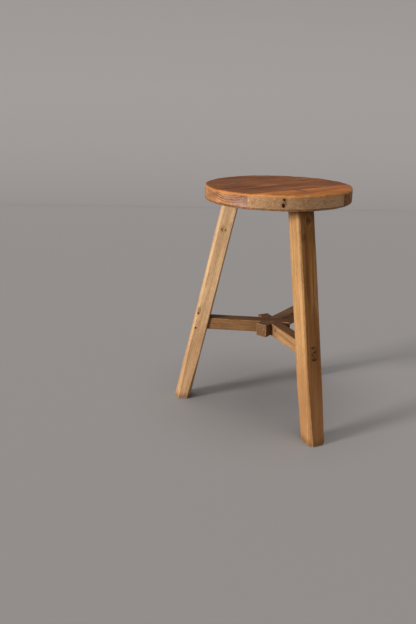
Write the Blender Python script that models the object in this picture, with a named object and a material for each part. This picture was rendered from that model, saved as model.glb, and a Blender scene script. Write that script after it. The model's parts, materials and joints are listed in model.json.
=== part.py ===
"""A rustic three-legged stool: a round seat of two boards, three splayed legs whose round tenons wedge
through it, and three stretchers that lap over each other in a star and wedge through the legs. The legs
are square posts with their two outer corners planed off.

Metres, +Z up. The floor is z = 0, and the origin lies under the middle of the stool's bounding box.
Each leg, its stretcher and their wedges are made in one station frame, with +X pointing from the stool's
axis towards the leg. An empty turns that frame to the leg's azimuth."""

import math

import bmesh
import bpy
from mathutils import Matrix, Vector

# Seat
HEIGHT = 0.500  # floor to seat top
SEAT_RADIUS = 0.1525
SEAT_THICKNESS = 0.030
SEAT_ROUNDING = 0.003  # radius on the top and bottom arris
SEAT_SEGMENTS = 96
BOARD_JOINT_OFFSET = 0.0729  # from the stool's axis to the joint between the boards
BOARD_JOINT_AZIMUTH = math.radians(-49.75)  # the way the joint faces; the grain runs square to it

# Dowels across the joint between the boards
DOWEL_RADIUS = 0.005
DOWEL_LENGTH = 0.056
DOWEL_CHAMFER = 0.001
DOWEL_PLACES = {"left": -0.092, "middle": 0.030, "right": 0.092}  # along the joint from its middle

# Legs
LEG_TOP_RADIUS = 0.0955  # the leg's axis from the stool's axis, at the seat's underside
LEG_FOOT_RADIUS = 0.2002  # the same, on the floor
LEG_EASING = 0.0015  # the narrow bevel on the two inner corners
LEG_TENON_RADIUS = 0.012
# azimuth, width across the spoke, depth along it and chamfer on the two outer corners
LEGS = {
    "left": (math.radians(180), 0.0370, 0.0340, 0.0066),
    "front": (math.radians(-60), 0.0382, 0.0395, 0.0038),
    "rear": (math.radians(60), 0.0382, 0.0395, 0.0050),
}

# Stretchers
STRETCHER_TOP = 0.2015  # the three tops are level
STRETCHER_STUB = 0.0415  # each bar runs this far past the stool's axis
STRETCHER_TENON_WIDTH = 0.012
STRETCHER_SHOULDER = 0.001  # above and below the tenon; the mortise is as tall as the whole bar
TALLEST_STRETCHER = 0.0280
# width and height
STRETCHERS = {
    "left": (0.0280, 0.0260),
    "front": (0.0250, TALLEST_STRETCHER),
    "rear": (0.0245, TALLEST_STRETCHER),
}
LAP_LOW, LAP_MIDDLE, LAP_HIGH = (
    STRETCHER_TOP - TALLEST_STRETCHER * share for share in (2 / 3, 1 / 2, 1 / 3)
)

# Wedges: thickness at the outer end and at the point, depth
SEAT_WEDGE = (0.0032, 0.0010, 0.020)
STRETCHER_WEDGE = (0.0026, 0.0008, 0.016)

GAP = 0.0003  # left between pieces that touch
PLENTY = 0.05  # how far a cutter or an uncut blank runs past the surface it crosses

# Worked out from the sizes above
UNDERSIDE = HEIGHT - SEAT_THICKNESS
SPLAY = math.atan2(LEG_FOOT_RADIUS - LEG_TOP_RADIUS, UNDERSIDE)
LEFT_REACH = LEG_FOOT_RADIUS + LEGS["left"][2] / 2 / math.cos(SPLAY)
AXIS_X = (LEFT_REACH - SEAT_RADIUS) / 2  # puts the origin under the middle of the bounding box

ELM_REAR_BOARD = (0.30, 0.12, 0.045)
ELM_FRONT_BOARD = (0.52, 0.25, 0.085)
ELM_LEG = (0.58, 0.34, 0.14)
ELM_STRETCHER = (0.36, 0.19, 0.08)
ELM_WEDGE = (0.22, 0.10, 0.04)
BAMBOO = (0.60, 0.42, 0.20)


def clear_scene():
    for obj in list(bpy.data.objects):
        bpy.data.objects.remove(obj, do_unlink=True)


def wood(name, colour, roughness=0.5):
    material = bpy.data.materials.new(name)
    material.use_nodes = True
    shader = material.node_tree.nodes["Principled BSDF"]
    shader.inputs["Base Color"].default_value = (*colour, 1)
    shader.inputs["Roughness"].default_value = roughness
    shader.inputs["Metallic"].default_value = 0
    return material


def empty(name, parent=None, location=(0, 0, 0), azimuth=0.0):
    obj = bpy.data.objects.new(name, None)
    bpy.context.collection.objects.link(obj)
    obj.parent = parent
    obj.location = location
    obj.rotation_euler = (0, 0, azimuth)
    return obj


def piece(name, mesh_tool, parent, material=None):
    """Turns a bmesh into an object. One without a material is a helper, which neither renders nor builds."""
    mesh = bpy.data.meshes.new(name)
    bmesh.ops.recalc_face_normals(mesh_tool, faces=mesh_tool.faces)
    mesh_tool.to_mesh(mesh)
    mesh_tool.free()
    obj = bpy.data.objects.new(name, mesh)
    bpy.context.collection.objects.link(obj)
    obj.parent = parent
    if material:
        mesh.materials.append(material)
        mesh.shade_smooth()
        mesh.set_sharp_from_angle(angle=math.radians(30))
    else:
        obj.hide_render = True
        obj.display_type = "WIRE"
    return obj


def boolean(obj, other, operation="DIFFERENCE"):
    modifier = obj.modifiers.new(f"{operation.lower()} {other.name}", "BOOLEAN")
    modifier.operation = operation
    modifier.object = other
    modifier.solver = "EXACT"


def box(low, high):
    """A box between two corners."""
    tool = bmesh.new()
    bmesh.ops.create_cube(tool, size=1)
    low, high = Vector(low), Vector(high)
    bmesh.ops.scale(tool, vec=high - low, verts=tool.verts)
    bmesh.ops.translate(tool, vec=(low + high) / 2, verts=tool.verts)
    return tool


def cylinder(radius, low, high, segments=32):
    """A cylinder along Z."""
    tool = bmesh.new()
    bmesh.ops.create_cone(
        tool, cap_ends=True, segments=segments, radius1=radius, radius2=radius, depth=high - low
    )
    bmesh.ops.translate(tool, vec=(0, 0, (low + high) / 2), verts=tool.verts)
    return tool


def wedge_blank(thickness, point, depth, length, extra):
    """A wedge that points down Z: thick along X, long along Y. Its thick end runs on by extra above z = 0."""
    tool = box((-0.5, -length / 2, -depth), (0.5, length / 2, extra))
    slope = (thickness - point) / depth
    for vert in tool.verts:
        vert.co.x *= point + slope * (vert.co.z + depth)
    return tool


def cut_off(tool, point, normal):
    """Removes what lies on the normal's side of a plane and closes the cut."""
    bmesh.ops.bisect_plane(
        tool,
        geom=tool.verts[:] + tool.edges[:] + tool.faces[:],
        dist=1e-7,
        plane_co=point,
        plane_no=normal,
        clear_outer=True,
    )
    open_edges = [edge for edge in tool.edges if edge.is_boundary]
    bmesh.ops.holes_fill(tool, edges=open_edges, sides=len(open_edges))


def along_leg(height=0.0):
    """The matrix from upright to a leg's slope, with its origin on the leg's axis at this height."""
    radius = LEG_FOOT_RADIUS - height * math.tan(SPLAY)
    return Matrix.Translation((radius, 0, height)) @ Matrix.Rotation(-SPLAY, 4, "Y")


def leg_face(depth, side):
    """A point and the outward normal of a leg's inner (side -1) or outer (side 1) face."""
    slope = along_leg()
    normal = side * (slope.to_3x3() @ Vector((1, 0, 0)))
    return slope.translation + normal * depth / 2, normal


def seat_board(name, parent, material, side):
    """One of the seat's two boards; side 1 is the board beyond the joint."""
    tool = cylinder(SEAT_RADIUS, UNDERSIDE, HEIGHT, SEAT_SEGMENTS)
    rims = [edge for edge in tool.edges if abs(edge.verts[0].co.z - edge.verts[1].co.z) < 1e-6]
    bmesh.ops.bevel(
        tool, geom=rims, offset=SEAT_ROUNDING, segments=3, profile=0.5, affect="EDGES", material=-1
    )
    facing = Matrix.Rotation(BOARD_JOINT_AZIMUTH, 3, "Z") @ Vector((1, 0, 0))
    joint = facing * (BOARD_JOINT_OFFSET + side * GAP / 2)
    cut_off(tool, joint, -side * facing)
    return piece(name, tool, parent, material)


def dowel(name, parent, place, radius, length, material=None):
    """A round bar across the joint between the boards."""
    tool = cylinder(radius, -length / 2, length / 2, segments=24)
    if material:
        rims = [edge for edge in tool.edges if abs(edge.verts[0].co.z - edge.verts[1].co.z) < 1e-6]
        bmesh.ops.bevel(
            tool, geom=rims, offset=DOWEL_CHAMFER, segments=1, profile=0.5, affect="EDGES", material=-1
        )
    middle = Vector((BOARD_JOINT_OFFSET, place, HEIGHT - SEAT_THICKNESS / 2))
    turn = Matrix.Rotation(BOARD_JOINT_AZIMUTH, 4, "Z")
    lie_down = Matrix.Translation(middle) @ Matrix.Rotation(math.pi / 2, 4, "Y")
    bmesh.ops.transform(tool, matrix=turn @ lie_down, verts=tool.verts)
    return piece(name, tool, parent, material)


def leg_post(name, station, width, depth, chamfer, material):
    """The post, from the floor to its shoulder under the seat."""
    tool = box((-depth / 2, -width / 2, -PLENTY), (depth / 2, width / 2, HEIGHT + PLENTY))
    for side, offset in ((1, chamfer), (-1, LEG_EASING)):
        on_face = {vert for vert in tool.verts if side * vert.co.x > depth / 2 - 1e-6}
        edges = [edge for edge in tool.edges if on_face.issuperset(edge.verts)]
        upright = [edge for edge in edges if abs(edge.verts[0].co.z - edge.verts[1].co.z) > HEIGHT / 2]
        bmesh.ops.bevel(
            tool, geom=upright, offset=offset, segments=1, profile=0.5, affect="EDGES", material=-1
        )
    bmesh.ops.transform(tool, matrix=along_leg(), verts=tool.verts)
    cut_off(tool, (0, 0, 0), (0, 0, -1))
    cut_off(tool, (0, 0, UNDERSIDE - GAP), (0, 0, 1))
    return piece(name, tool, station, material)


def leg_tenon(name, station, radius, top):
    """The round tenon on a leg, or with more radius and a higher top the hole for it."""
    tool = cylinder(radius, -PLENTY / 2, SEAT_THICKNESS + PLENTY)
    bmesh.ops.transform(tool, matrix=along_leg(UNDERSIDE), verts=tool.verts)
    cut_off(tool, (0, 0, top), (0, 0, 1))
    return piece(name, tool, station)


def seat_wedge(name, station, azimuth, gap, length, material=None):
    """The wedge in a leg's tenon, square to the seat's grain, or with a gap the slot for it."""
    thickness, point, depth = SEAT_WEDGE
    tool = wedge_blank(thickness + 2 * gap, point + 2 * gap, depth + gap, length, PLENTY / 2)
    across_grain = Matrix.Rotation(BOARD_JOINT_AZIMUTH + math.pi / 2 - azimuth, 4, "Z")
    bmesh.ops.transform(tool, matrix=along_leg(HEIGHT) @ across_grain, verts=tool.verts)
    if material:
        cut_off(tool, (0, 0, HEIGHT), (0, 0, 1))
    return piece(name, tool, station, material)


def stretcher_wedge(name, station, depth_of_leg, height, gap, length, material=None):
    """The wedge in a stretcher's end, level and flush with the leg, or with a gap the slot for it."""
    thickness, point, depth = STRETCHER_WEDGE
    tool = wedge_blank(thickness + 2 * gap, point + 2 * gap, depth + gap, length, PLENTY / 2)
    surface, normal = leg_face(depth_of_leg, 1)
    level = STRETCHER_TOP - height / 2
    outwards = surface.x - (level - surface.z) * normal.z / normal.x
    point_inwards = Matrix.Translation((outwards, 0, level)) @ Matrix.Rotation(math.pi / 2, 4, "Y")
    bmesh.ops.transform(tool, matrix=point_inwards, verts=tool.verts)
    if material:
        cut_off(tool, surface, normal)
    return piece(name, tool, station, material)


def bar_box(name, station, width, low, high, start, end):
    """A helper box along the spoke, centred across it."""
    return piece(name, box((start, -width / 2, low), (end, width / 2, high)), station)


def stretcher(name, station, width, height, depth_of_leg, material):
    """A bar from its stub past the hub to the leg, with a tenon through the leg."""
    low = STRETCHER_TOP - height
    bar = box((-STRETCHER_STUB, -width / 2, low), (LEG_FOOT_RADIUS, width / 2, STRETCHER_TOP))
    surface, normal = leg_face(depth_of_leg, -1)
    cut_off(bar, surface + normal * GAP, -normal)
    obj = piece(name, bar, station, material)

    half = STRETCHER_TENON_WIDTH / 2 - GAP
    tenon = box(
        (LEG_TOP_RADIUS, -half, low + STRETCHER_SHOULDER),
        (LEG_FOOT_RADIUS + PLENTY, half, STRETCHER_TOP - STRETCHER_SHOULDER),
    )
    cut_off(tenon, *leg_face(depth_of_leg, 1))
    boolean(obj, piece(f"{name}_tenon", tenon, station), "UNION")
    return obj


def mortise(name, station, height):
    """The hole through a leg for the stretcher's tenon."""
    low, high = STRETCHER_TOP - height, STRETCHER_TOP
    return bar_box(name, station, STRETCHER_TENON_WIDTH, low, high, LEG_TOP_RADIUS, LEG_FOOT_RADIUS + PLENTY)


def lap(bar, others):
    """Cuts a stretcher where others cross it; others give each crossing bar and the heights it clears."""
    for other, low, high in others:
        width = STRETCHERS[other][0] + 2 * GAP
        name = f"lap_in_{bar.name}_for_{other}"
        reach = LEG_TOP_RADIUS
        boolean(bar, bar_box(name, stations[other], width, low, high, -reach, reach))


clear_scene()
stool_axis = empty("stool_axis", location=(AXIS_X, 0, 0))
stations = {name: empty(f"station_{name}", stool_axis, azimuth=leg[0]) for name, leg in LEGS.items()}

boards = [
    seat_board("seat_board_rear", stool_axis, wood("rear board", ELM_REAR_BOARD), -1),
    seat_board("seat_board_front", stool_axis, wood("front board", ELM_FRONT_BOARD), 1),
]
bamboo = wood("bamboo", BAMBOO)
for side, place in DOWEL_PLACES.items():
    dowel(f"board_dowel_{side}", stool_axis, place, DOWEL_RADIUS, DOWEL_LENGTH, bamboo)
    hole = dowel(f"dowel_hole_{side}", stool_axis, place, DOWEL_RADIUS + GAP, DOWEL_LENGTH + 2 * GAP)
    for board in boards:
        boolean(board, hole)

leg_wood = wood("leg wood", ELM_LEG)
stretcher_wood = wood("stretcher wood", ELM_STRETCHER)
wedge_wood = wood("wedge wood", ELM_WEDGE)
bars = {}
for side, (azimuth, leg_width, leg_depth, leg_chamfer) in LEGS.items():
    station = stations[side]
    bar_width, bar_height = STRETCHERS[side]

    leg = leg_post(f"leg_{side}", station, leg_width, leg_depth, leg_chamfer, leg_wood)
    boolean(leg, leg_tenon(f"leg_tenon_{side}", station, LEG_TENON_RADIUS, HEIGHT), "UNION")
    boolean(leg, mortise(f"mortise_{side}", station, bar_height))
    tenon_width = 2 * LEG_TENON_RADIUS
    boolean(leg, seat_wedge(f"seat_slot_{side}", station, azimuth, GAP, tenon_width + PLENTY))
    seat_wedge(f"seat_wedge_{side}", station, azimuth, 0, tenon_width - 4 * GAP, wedge_wood)
    hole = leg_tenon(f"seat_hole_{side}", station, LEG_TENON_RADIUS + GAP, HEIGHT + PLENTY / 2)
    for board in boards:
        boolean(board, hole)

    bar = stretcher(f"stretcher_{side}", station, bar_width, bar_height, leg_depth, stretcher_wood)
    slot_width = STRETCHER_TENON_WIDTH + PLENTY
    boolean(bar, stretcher_wedge(f"stretcher_slot_{side}", station, leg_depth, bar_height, GAP, slot_width))
    wedge_width = STRETCHER_TENON_WIDTH - 4 * GAP
    stretcher_wedge(
        f"stretcher_wedge_{side}", station, leg_depth, bar_height, 0, wedge_width, wedge_wood
    )
    bars[side] = bar

# The left bar keeps the top of the crossing, the rear bar its middle and the front bar its bottom.
UNDER, OVER = STRETCHER_TOP - PLENTY, STRETCHER_TOP + PLENTY
lap(bars["left"], [("rear", UNDER, LAP_HIGH + GAP / 2), ("front", UNDER, LAP_MIDDLE + GAP / 2)])
lap(bars["rear"], [("left", LAP_HIGH - GAP / 2, OVER), ("front", UNDER, LAP_LOW + GAP / 2)])
lap(bars["front"], [("rear", LAP_LOW - GAP / 2, OVER), ("left", LAP_MIDDLE - GAP / 2, OVER)])
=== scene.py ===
# %% [markdown]
# # A rustic three-legged stool
#
# The stool is made of old elm: a round seat of two boards, three splayed legs, and three bars that cross
# under the seat. Its CAD model is exact and bare. This lesson gives each piece the marks that hand tools
# and years of use leave on it, and builds wood that runs right through every piece, so that side grain
# and end grain agree wherever the piece is cut.
#
# The CAD model comes first. Every size below is read from it, so nothing has to be fitted afterwards.

# %% Load the frame
import json
import math

import bmesh
import bpy
from mathutils import Matrix, Vector, noise


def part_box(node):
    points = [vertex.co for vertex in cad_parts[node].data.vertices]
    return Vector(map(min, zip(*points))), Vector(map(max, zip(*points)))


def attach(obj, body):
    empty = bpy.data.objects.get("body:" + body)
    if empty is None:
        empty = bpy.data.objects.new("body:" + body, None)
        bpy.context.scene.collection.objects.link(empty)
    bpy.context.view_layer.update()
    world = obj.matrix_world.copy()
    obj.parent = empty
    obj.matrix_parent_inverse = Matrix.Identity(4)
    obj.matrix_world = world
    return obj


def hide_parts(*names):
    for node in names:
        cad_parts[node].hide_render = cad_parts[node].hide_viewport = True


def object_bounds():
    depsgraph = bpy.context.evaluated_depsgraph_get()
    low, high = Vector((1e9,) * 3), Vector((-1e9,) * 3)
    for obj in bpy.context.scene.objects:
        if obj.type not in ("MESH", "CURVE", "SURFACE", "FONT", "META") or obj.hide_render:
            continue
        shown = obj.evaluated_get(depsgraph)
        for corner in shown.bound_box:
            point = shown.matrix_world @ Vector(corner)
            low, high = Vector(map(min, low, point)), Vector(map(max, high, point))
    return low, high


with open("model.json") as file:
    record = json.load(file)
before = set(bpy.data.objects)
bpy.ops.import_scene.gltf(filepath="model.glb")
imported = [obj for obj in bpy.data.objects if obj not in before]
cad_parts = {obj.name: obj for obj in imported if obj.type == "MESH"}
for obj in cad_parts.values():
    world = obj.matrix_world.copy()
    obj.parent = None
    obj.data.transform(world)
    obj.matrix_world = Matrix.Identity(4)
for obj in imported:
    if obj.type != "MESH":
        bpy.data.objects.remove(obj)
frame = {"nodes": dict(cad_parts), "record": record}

cad_low, cad_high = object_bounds()
nodes = frame["nodes"]
print("CAD box in mm:", [round(1000 * side) for side in cad_high - cad_low])

# %% [markdown]
# ## The camera
#
# The camera goes in before any piece, because what it sees decides where detail is worth its time. It
# stands a little to the right of the stool at standing height, and looks down at it. A camera looks along
# its own -Z, so one that starts level is turned by 90 degrees less its pitch. The small roll is the tilt
# of a camera held by hand.

# %% Camera
EYE = Vector((0.0498, -1.3711, 0.6840))
YAW, PITCH, ROLL = (math.radians(angle) for angle in (6.66, 18.92, 1.01))

camera = bpy.data.objects.new("camera", bpy.data.cameras.new("camera"))
camera.data.lens = 37.38
camera.data.sensor_width = 36
camera.matrix_world = (
    Matrix.Translation(EYE)
    @ Matrix.Rotation(YAW, 4, "Z")
    @ Matrix.Rotation(math.pi / 2 - PITCH, 4, "X")
    @ Matrix.Rotation(ROLL, 4, "Z")
)
bpy.context.collection.objects.link(camera)
bpy.context.scene.camera = camera
print("camera is", round((EYE - (cad_low + cad_high) / 2).length, 2), "m from the stool")

# %% [markdown]
# ## Reading the stool's sizes
#
# The seat's middle and the legs' feet are mounts in the record. Each leg, its bar and their wedges lie
# along one spoke, so they are easiest to describe in the spoke's own frame: +X runs from the stool's axis
# towards the leg. A leg's slope is the line between the middle of its foot and the middle of its shoulder.

# %% Spokes and legs
SIDES = ("left", "front", "rear")
mounts = {mount["name"]: Vector(mount["pos_m"]) for mount in frame["record"]["mounts"]}
STOOL_AXIS = Vector((mounts["seat_top"].x, mounts["seat_top"].y, 0))
HEIGHT = cad_high.z
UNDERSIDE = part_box("seat_board_rear")[0].z
SEAT_RADIUS = cad_high.x - STOOL_AXIS.x
NEAR = 1e-4  # closer than this counts as touching


def spoke_frame(side):
    spoke = mounts[f"foot_{side}"] - STOOL_AXIS
    return Matrix.Translation(STOOL_AXIS) @ Matrix.Rotation(math.atan2(spoke.y, spoke.x), 4, "Z")


def extent(points):
    """The lowest and highest corner of some points."""
    return Vector(map(min, zip(*points))), Vector(map(max, zip(*points)))


def on_spoke(node, side, keep=lambda point: True):
    """The extent of a CAD node's points in its spoke's frame."""
    to_spoke = spoke_frame(side).inverted()
    points = [to_spoke @ vert.co for vert in nodes[node].data.vertices]
    return extent([point for point in points if keep(point)])


def measure_leg(side):
    """A leg's own frame, with Z up its middle line and X outwards, and its width, depth and chamfer."""
    leg = f"leg_{side}"
    foot_low, foot_high = on_spoke(leg, side, lambda point: point.z < NEAR)
    outer_edge = on_spoke(leg, side, lambda point: point.z < NEAR and point.x > foot_high.x - NEAR)
    top_low, top_high = on_spoke(leg, side, lambda point: abs(point.z - UNDERSIDE) < 10 * NEAR)
    foot, top = (foot_low.x + foot_high.x) / 2, (top_low.x + top_high.x) / 2
    splay = math.atan2(foot - top, UNDERSIDE)
    slope = Matrix.Translation((foot, 0, 0)) @ Matrix.Rotation(-splay, 4, "Y")
    width = foot_high.y - foot_low.y
    depth = (foot_high.x - foot_low.x) * math.cos(splay)
    return spoke_frame(side) @ slope, width, depth, width / 2 - outer_edge[1].y


legs = {side: measure_leg(side) for side in SIDES}
bars = {side: on_spoke(f"stretcher_{side}", side) for side in SIDES}
LEG_LENGTH = UNDERSIDE / legs["left"][0].to_3x3().col[2].z
for side, (_, *section) in legs.items():
    print(f"{side} leg: width, depth and chamfer in mm", [round(1000 * size, 1) for size in section])

# %% [markdown]
# ## A joiner's tools in bmesh
#
# Every piece starts as a plain blank and is cut to shape, as it would be at the bench. `bisect_plane` is
# the saw: with `clear_outer` it takes off what lies beyond a plane, and the hole it leaves is filled.
# `bevel` is the plane that eases an edge. Bisecting without clearing adds loops of points and changes no
# shape, which gives the next tool something to move.

# %% Blanks, saw and plane
GAP = 0.0003  # between pieces that touch
CORNER = math.radians(15)  # faces that meet at less than this are one curved surface


def box_blank(low, high):
    bm = bmesh.new()
    bmesh.ops.create_cube(bm, size=1)
    low, high = Vector(low), Vector(high)
    bmesh.ops.scale(bm, vec=high - low, verts=bm.verts)
    bmesh.ops.translate(bm, vec=(low + high) / 2, verts=bm.verts)
    return bm


def round_blank(radius, low, high, segments):
    bm = bmesh.new()
    bmesh.ops.create_cone(
        bm, cap_ends=True, segments=segments, radius1=radius, radius2=radius, depth=high - low
    )
    bmesh.ops.translate(bm, vec=(0, 0, (low + high) / 2), verts=bm.verts)
    return bm


def place(bm, matrix):
    bmesh.ops.transform(bm, matrix=matrix, verts=bm.verts)


def whole(bm):
    return bm.verts[:] + bm.edges[:] + bm.faces[:]


def saw(bm, point, normal):
    """Takes off what lies beyond a plane and closes the cut."""
    bmesh.ops.bisect_plane(
        bm, geom=whole(bm), dist=1e-7, plane_co=point, plane_no=normal, clear_outer=True
    )
    rim = [edge for edge in bm.edges if edge.is_boundary]
    bmesh.ops.holes_fill(bm, edges=rim, sides=len(rim))


def ease(bm, edges, radius, segments=3):
    """Rounds edges to a radius."""
    bmesh.ops.bevel(
        bm,
        geom=edges,
        offset=radius,
        segments=segments,
        profile=0.5,
        affect="EDGES",
        material=-1,
        clamp_overlap=True,
    )


def edges_where(bm, test):
    """The edges whose middle passes a test, out of those where two faces meet at an angle."""
    bm.normal_update()
    corners = [edge for edge in bm.edges if edge.is_manifold and edge.calc_face_angle() > CORNER]
    return [edge for edge in corners if test((edge.verts[0].co + edge.verts[1].co) / 2, edge)]


def add_loops(bm, direction, spacing):
    """Adds loops of points square to a direction."""
    places = [vert.co.dot(direction) for vert in bm.verts]
    start, span = min(places), max(places) - min(places)
    for step in range(1, math.ceil(span / spacing)):
        bmesh.ops.bisect_plane(
            bm, geom=whole(bm), dist=1e-5, plane_co=direction * (start + step * spacing), plane_no=direction
        )


# %% [markdown]
# A hand plane never leaves a surface dead flat. `hand_planed` moves each point along its normal by smooth
# noise, in waves that are long with the grain and short across it. It is a fraction of a millimetre, but
# it bends the long highlights, and that is what the eye takes for handwork. Each piece has its own seed,
# so no two are alike, and a part that has to stay true, such as the sole of a foot, is held still.

# %% Uneven surfaces and joints
PLANE_WAVES = (0.09, 0.02, 0.02)  # their length with the grain, across it and through the board


def hand_planed(bm, grain, depth, seed, hold=lambda point: 1.0, waves=PLANE_WAVES):
    """Pushes points in and out by up to depth. Where hold gives 0 they stay."""
    to_grain = grain.inverted()
    bm.normal_update()
    for vert in bm.verts:
        at = to_grain @ vert.co
        spot = Vector((at.x / waves[0], at.y / waves[1], at.z / waves[2])) + Vector((seed, 2 * seed, 0))
        vert.co += vert.normal * noise.noise(spot) * depth * hold(vert.co)


def make_object(name, bm):
    bmesh.ops.recalc_face_normals(bm, faces=bm.faces)
    mesh = bpy.data.meshes.new(name)
    bm.to_mesh(mesh)
    bm.free()
    obj = bpy.data.objects.new(name, mesh)
    bpy.context.collection.objects.link(obj)
    return obj


def joined(obj, tools, operation="DIFFERENCE"):
    """Cuts other shapes from an object or adds them to it, then throws those shapes away."""
    for tool in tools:
        modifier = obj.modifiers.new("joint", "BOOLEAN")
        modifier.operation = operation
        modifier.object = tool
        modifier.solver = "EXACT"
    graph = bpy.context.evaluated_depsgraph_get()
    mesh = bpy.data.meshes.new_from_object(obj.evaluated_get(graph))
    obj.modifiers.clear()
    old, obj.data = obj.data, mesh
    bpy.data.meshes.remove(old)
    mesh.name = obj.name
    for tool in tools:
        bpy.data.objects.remove(tool, do_unlink=True)
    return obj


# %% [markdown]
# Hands and feet polish the corners of a stool first. The wood's recipe needs to know where those corners
# are, so the last tool marks them: a point in the middle of a rounded edge has only narrow faces round
# it, and gets 1 in an attribute named `arris`. All other points get 0. A weighted-normal modifier keeps
# the flats flat beside those narrow faces.

# %% Marking worn corners and finishing a piece
NARROW = 0.0011  # the faces of a rounded edge are no wider than this


def narrowness(face):
    return face.calc_area() / max(edge.calc_length() for edge in face.edges)


def mark_arrises(mesh):
    bm = bmesh.new()
    bm.from_mesh(mesh)
    layer = bm.verts.layers.float.new("arris")
    narrow = {face for face in bm.faces if narrowness(face) < NARROW}
    for vert in bm.verts:
        vert[layer] = 1.0 if vert.link_faces and all(face in narrow for face in vert.link_faces) else 0.0
    bm.to_mesh(mesh)
    bm.free()


def settle(obj, node, material):
    """Finishes a piece: worn corners, shading, its wood, and the CAD node that it stands for."""
    mark_arrises(obj.data)
    obj.data.materials.clear()
    obj.data.materials.append(material)
    obj.data.shade_smooth()
    obj.data.set_sharp_from_angle(angle=math.radians(38))
    weighted = obj.modifiers.new("flats", "WEIGHTED_NORMAL")
    weighted.keep_sharp = True
    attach(obj, "root")
    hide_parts(node)
    print(f"{obj.name}: {len(obj.data.polygons)} faces")
    return obj


# %% [markdown]
# ## The recipe for elm
#
# Wood is a solid pattern. A tree is a stack of cones so slim that, over a stool leg, they are cylinders:
# rings round a line, the pith. A board is a slice of that, so the same ring shows as an arc on the end,
# as a straight line on one side and as a pointed arch on another. The recipe works in that way. Object
# coordinates are turned so that X runs along the grain, and every layer of the pattern is then looked up
# at a point's place in the tree: how far along it, how far out from the pith, and how far round it.
#
# `Recipe` holds short ways to add the few kinds of node that this needs.

# %% A short hand for shader nodes


class Recipe:
    """The node tree of one material."""

    def __init__(self, name):
        self.material = bpy.data.materials.new(name)
        self.material.use_nodes = True
        self.tree = self.material.node_tree
        self.shader = self.tree.nodes["Principled BSDF"]

    def add(self, kind, inputs, **settings):
        """Adds a node, sets it up and feeds its inputs with numbers, colours or other nodes' outputs."""
        node = self.tree.nodes.new(kind)
        for key, value in settings.items():
            setattr(node, key, value)
        for key, value in inputs.items():
            self.feed(node.inputs[key], value)
        return node

    def feed(self, socket, value):
        if isinstance(value, bpy.types.NodeSocket):
            self.tree.links.new(value, socket)
        elif socket.type == "RGBA":
            socket.default_value = (*value[:3], 1)
        else:
            socket.default_value = value

    def math(self, operation, *values, clamp=False):
        inputs = dict(enumerate(values))
        return self.add("ShaderNodeMath", inputs, operation=operation, use_clamp=clamp).outputs[0]

    def vector(self, operation, *values):
        node = self.add("ShaderNodeVectorMath", dict(enumerate(values)), operation=operation)
        return node.outputs["Value" if operation in ("LENGTH", "DOT_PRODUCT") else "Vector"]

    def blend(self, share, first, second, kind="MIX"):
        """Mixes two colours."""
        node = self.add("ShaderNodeMix", {}, data_type="RGBA", blend_type=kind)
        for socket, value in zip((node.inputs[0], node.inputs[6], node.inputs[7]), (share, first, second)):
            self.feed(socket, value)
        return node.outputs[2]

    def brighten(self, colour, amount):
        """Multiplies a colour by one number."""
        grey = self.add("ShaderNodeCombineColor", {0: amount, 1: amount, 2: amount}).outputs[0]
        return self.blend(1.0, colour, grey, "MULTIPLY")

    def rise(self, value, low, high, top=1.0):
        """0 below low and top above high, with a soft step between them. Low may be the larger."""
        inputs = {"Value": value, "From Min": low, "From Max": high, "To Min": 0.0, "To Max": top}
        return self.add("ShaderNodeMapRange", inputs, interpolation_type="SMOOTHSTEP").outputs[0]

    def noise(self, where, stretch, detail=2.0, rough=0.5):
        """Noise between 0 and 1 with so many waves to the metre along X, Y and Z."""
        scaled = self.vector("MULTIPLY", where, stretch)
        inputs = {"Vector": scaled, "Scale": 1.0, "Detail": detail, "Roughness": rough}
        return self.add("ShaderNodeTexNoise", inputs).outputs[0]

    def place(self, frame_matrix):
        """Object coordinates in a frame of the piece's own."""
        location, turn, _ = frame_matrix.inverted().decompose()
        coordinates = self.add("ShaderNodeTexCoord", {}).outputs["Object"]
        inputs = {"Vector": coordinates, "Location": location, "Rotation": turn.to_euler()}
        return self.add("ShaderNodeMapping", inputs, vector_type="POINT").outputs[0]

    def parts(self, vector):
        return self.add("ShaderNodeSeparateXYZ", {"Vector": vector}).outputs


# %% [markdown]
# The layers run from large to small. Rings come first, then blotches where the wood took its wax
# unevenly, broad sweeps of darker and lighter wood, long streaks, a mottle of short ones, fine fibres,
# rays, which are thin sheets that run out from the pith, and open pores. Pores are dashes on a side and
# dots on an end, because they too are long tubes. Knots push the rings aside and have a dark heart. `LOOK`
# is the usual elm; each piece changes what sets its own tree apart.

# %% The layers of the pattern
LOOK = {
    "pith": (-0.03, -0.08),  # the heart of the tree, across and up from the grain frame's X axis
    "ring": 0.0034,  # from one year to the next
    "wander": 0.008,  # how far the rings stray
    "ring_share": 0.6,  # how dark the late wood is
    "ring_streak": 0.45,  # how much of the streak colour it takes
    "streak_share": 0.55,
    "mottle": 0.42,
    "ray": 0.3,
    "sweep": 0.35,
    "pore_scale": 1.0,  # more than 1 makes finer pores
    "pore_share": 0.55,
    "worn": (0.70, 0.45, 0.22),  # the colour of rubbed corners
    "rough": 0.5,
    "bump": 0.5,
    "knots": (),  # places and radii
    "patches": (),
}
PORE = (0.085, 0.036, 0.014)
KNOT = (0.075, 0.028, 0.010)
# waves to the metre along, out from and round the pith, then detail and roughness
TREE_NOISE = {
    "sweep": ((5.0, 60.0, 60.0), 2.0, 0.5),
    "streak": ((2.6, 150.0, 150.0), 4.0, 0.6),
    "mottle": ((16.0, 260.0, 260.0), 3.0, 0.65),
    "fibre": ((40.0, 1500.0, 1500.0), 2.0, 0.7),
    "ray": ((120.0, 70.0, 620.0), 2.0, 0.6),
}
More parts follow.
